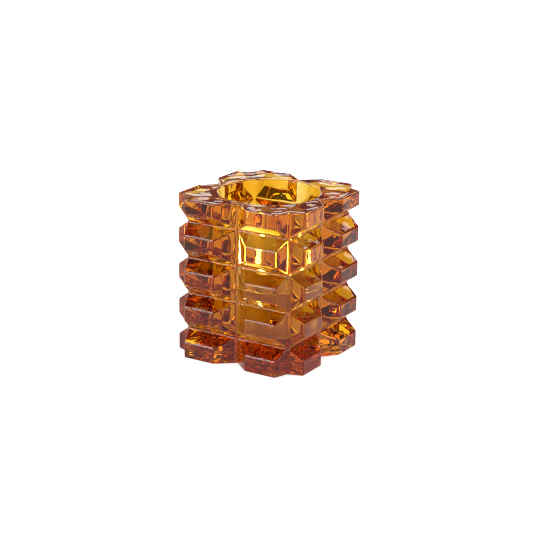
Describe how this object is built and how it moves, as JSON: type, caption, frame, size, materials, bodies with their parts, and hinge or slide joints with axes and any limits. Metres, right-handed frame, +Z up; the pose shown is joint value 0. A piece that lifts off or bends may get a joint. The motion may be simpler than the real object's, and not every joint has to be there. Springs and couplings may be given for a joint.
{
  "type": "tealight holder",
  "caption": "Square faceted amber glass tealight holder with a round well, holding a tealight in its aluminium cup.",
  "frame": {"origin": "centre of the foot, on the face it rests on", "axes": "+Z up out of the well, +X and +Y square to the sides; the front side faces -Y"},
  "size_m": [0.08, 0.08, 0.0892],
  "materials": {
    "amber_glass": "clear amber, fire-polished",
    "cup_aluminium": "drawn, bright",
    "wax": "white paraffin wax, slightly translucent, melted in the middle",
    "tinned_metal": "tinned sheet",
    "wick_cotton": "braided cotton, charred at the end"
  },
  "bodies": {
    "holder": {"glass_holder": "amber_glass"},
    "tealight": {"tealight_cup": "cup_aluminium"},
    "candle": {"candle_wax": "wax", "wick_sustainer": "tinned_metal", "wick": "wick_cotton"}
  },
  "joints": [
    {"name": "tealight_lift", "type": "slide", "parent": "holder", "child": "tealight", "axis": [0, 0, 1], "range_m": [0, 0.08]},
    {"name": "candle_lift", "type": "slide", "parent": "tealight", "child": "candle", "axis": [0, 0, 1], "range_m": [0, 0.03]}
  ]
}
